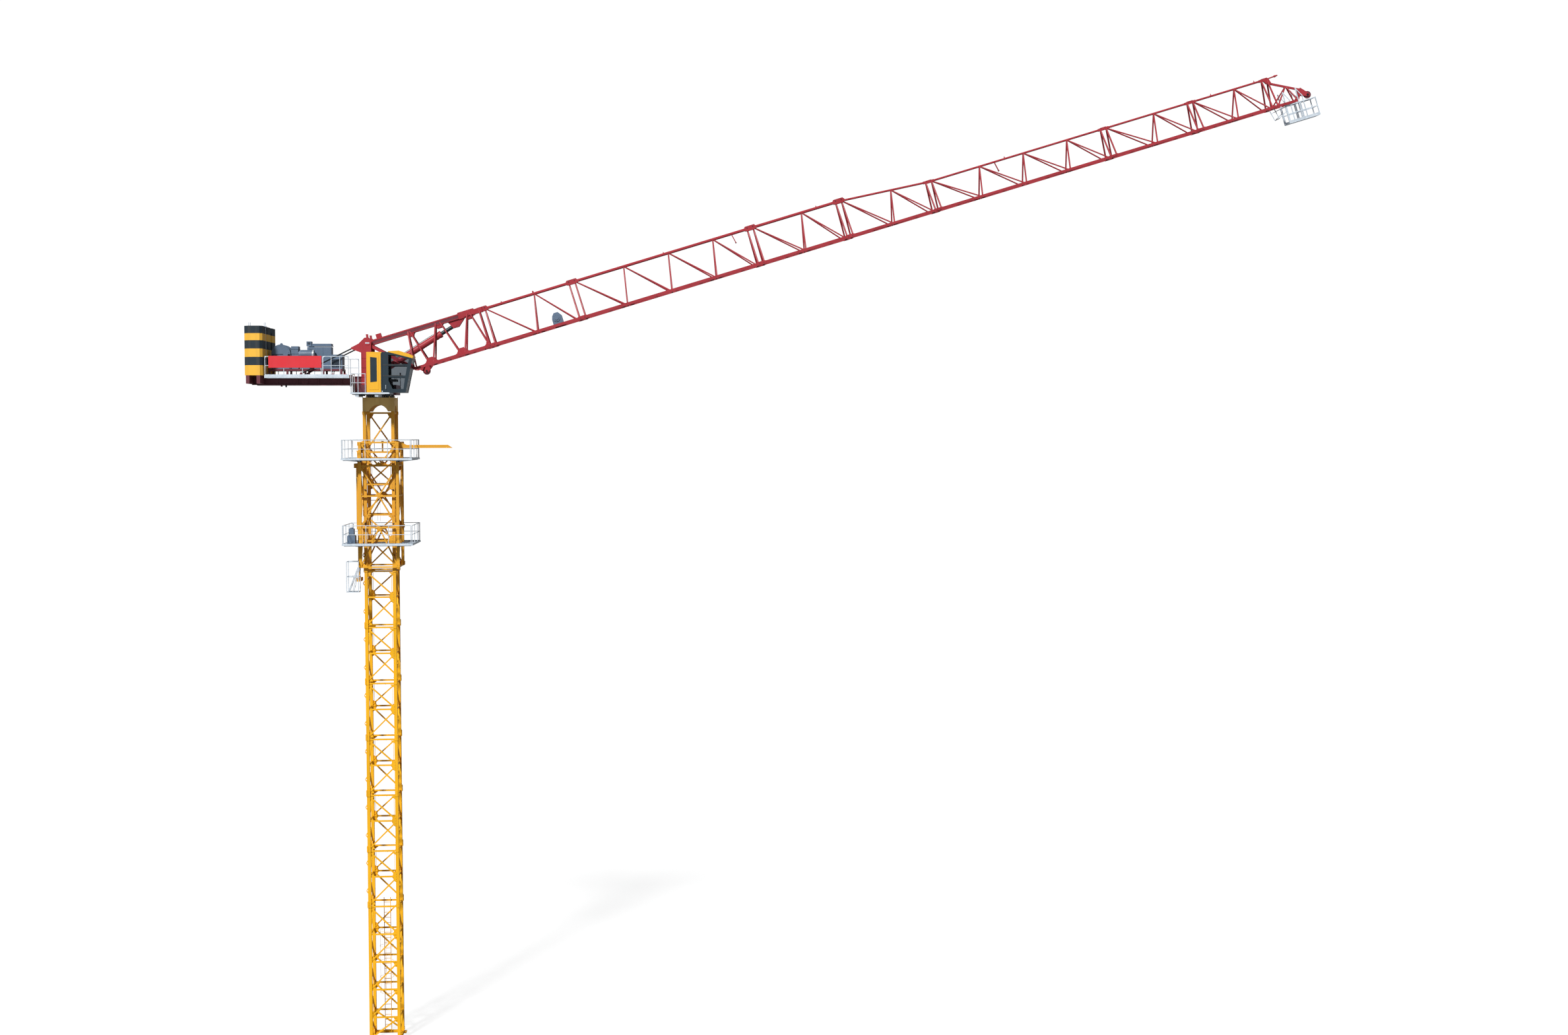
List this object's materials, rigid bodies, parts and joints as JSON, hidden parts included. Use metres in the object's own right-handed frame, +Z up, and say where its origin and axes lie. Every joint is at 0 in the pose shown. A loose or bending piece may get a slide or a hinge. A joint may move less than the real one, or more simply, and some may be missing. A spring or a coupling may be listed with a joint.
{
  "type": "luffing tower crane, scale model at 1:2",
  "caption": "Half-size model of a luffing tower crane: yellow lattice mast with climbing cage, cab, counterweights and red lattice jib raised by a hydraulic cylinder.",
  "frame": {"origin": "centre of the mast on the underside of the base ring", "axes": "+X along the jib, +Y across the crane, +Z up the mast"},
  "size_m": [28.8499, 2.21, 26.0414],
  "materials": {
    "mast_yellow": "satin",
    "cab_yellow": "satin",
    "cab_glass": "clear",
    "seat_black": "matte",
    "ballast": "matte",
    "galvanised": "satin",
    "machine_grey": "satin",
    "dark_steel": "satin",
    "sign_red": "satin",
    "girder_red": "satin",
    "jib_red": "satin"
  },
  "bodies": {
    "tower": {"access_basket": "galvanised", "base_ring": "mast_yellow", "base_section": "mast_yellow", "cage_frame": "mast_yellow", "climbing_cylinder": "mast_yellow", "climbing_power_pack": "machine_grey", "lower_platform": "galvanised", "lower_platform_railing": "galvanised", "mast_ladder": "mast_yellow", "mast_section_1": "mast_yellow", "mast_section_2": "mast_yellow", "mast_section_3": "mast_yellow", "mast_section_4": "mast_yellow", "mast_section_5": "mast_yellow", "mast_section_6": "mast_yellow", "mast_section_7": "mast_yellow", "mast_section_8": "mast_yellow", "monorail_beam": "mast_yellow", "slewing_pedestal": "mast_yellow", "slewing_ring": "dark_steel", "transition_section": "mast_yellow", "upper_platform": "galvanised", "upper_platform_railing": "galvanised"},
    "upperworks": {"turntable": "girder_red", "column": "jib_red", "counter_jib_girders": "girder_red", "counter_jib_stays": "dark_steel", "counterweights": "ballast", "counter_jib_walkways": "galvanised", "counter_jib_railings": "galvanised", "machinery_frame": "girder_red", "winch_frame": "machine_grey", "winch_hood": "machine_grey", "hoist_gearbox": "machine_grey", "hoist_motor": "machine_grey", "electrical_cabinet": "machine_grey", "hydraulic_unit": "machine_grey", "sign_panel": "sign_red", "service_platform": "galvanised", "service_railing": "galvanised", "cab_body": "cab_yellow", "cab_glass": "cab_glass", "cab_roof": "cab_yellow", "cab_seat": "seat_black"},
    "jib": {"jib_head": "jib_red", "jib_root_section": "jib_red", "jib_section_2": "jib_red", "jib_section_3": "jib_red", "jib_section_4": "jib_red", "jib_section_5": "jib_red", "jib_section_6": "jib_red", "jib_section_7": "jib_red", "jib_section_8": "jib_red", "jib_winch": "machine_grey", "tip_basket": "galvanised"},
    "luffing_barrel": {"luffing_cylinder_barrel": "jib_red"},
    "luffing_rod": {"luffing_cylinder_rod": "dark_steel"},
    "hoist_drum": {"hoist_drum": "machine_grey"},
    "tip_sheave": {"tip_sheave": "dark_steel"},
    "root_sheave": {"root_sheave": "dark_steel"}
  },
  "joints": [
    {"name": "slewing", "type": "hinge", "parent": "tower", "child": "upperworks", "pos_m": [0, 0, 17.325], "axis": [0, 0, 1], "continuous": true},
    {"name": "jib_luffing", "type": "hinge", "parent": "upperworks", "child": "jib", "pos_m": [-0.275, 0, 18.6903], "axis": [0, -1, 0], "range_deg": [0, 65]},
    {"name": "cylinder_tilt", "type": "hinge", "parent": "upperworks", "child": "luffing_barrel", "pos_m": [-0.185, 0, 17.8053], "axis": [0, -1, 0], "range_deg": [0, 50.61]},
    {"name": "rod_slide", "type": "slide", "parent": "luffing_barrel", "child": "luffing_rod", "axis": [0.8454, 0, 0.5341], "range_m": [0, 0.6037]},
    {"name": "drum_turn", "type": "hinge", "parent": "upperworks", "child": "hoist_drum", "pos_m": [-2.55, 0, 18.4003], "axis": [0, 1, 0], "continuous": true},
    {"name": "tip_sheave_turn", "type": "hinge", "parent": "jib", "child": "tip_sheave", "pos_m": [25.16067, 0, 25.50473], "axis": [0, 1, 0], "continuous": true},
    {"name": "root_sheave_turn", "type": "hinge", "parent": "jib", "child": "root_sheave", "pos_m": [1.23757, 0, 17.96483], "axis": [0, 1, 0], "continuous": true}
  ],
  "couplings": [
    {"joint": "cylinder_tilt", "follows": "jib_luffing", "ratio": 0.77099},
    {"joint": "rod_slide", "follows": "jib_luffing", "m_per_rad": 0.52858}
  ]
}
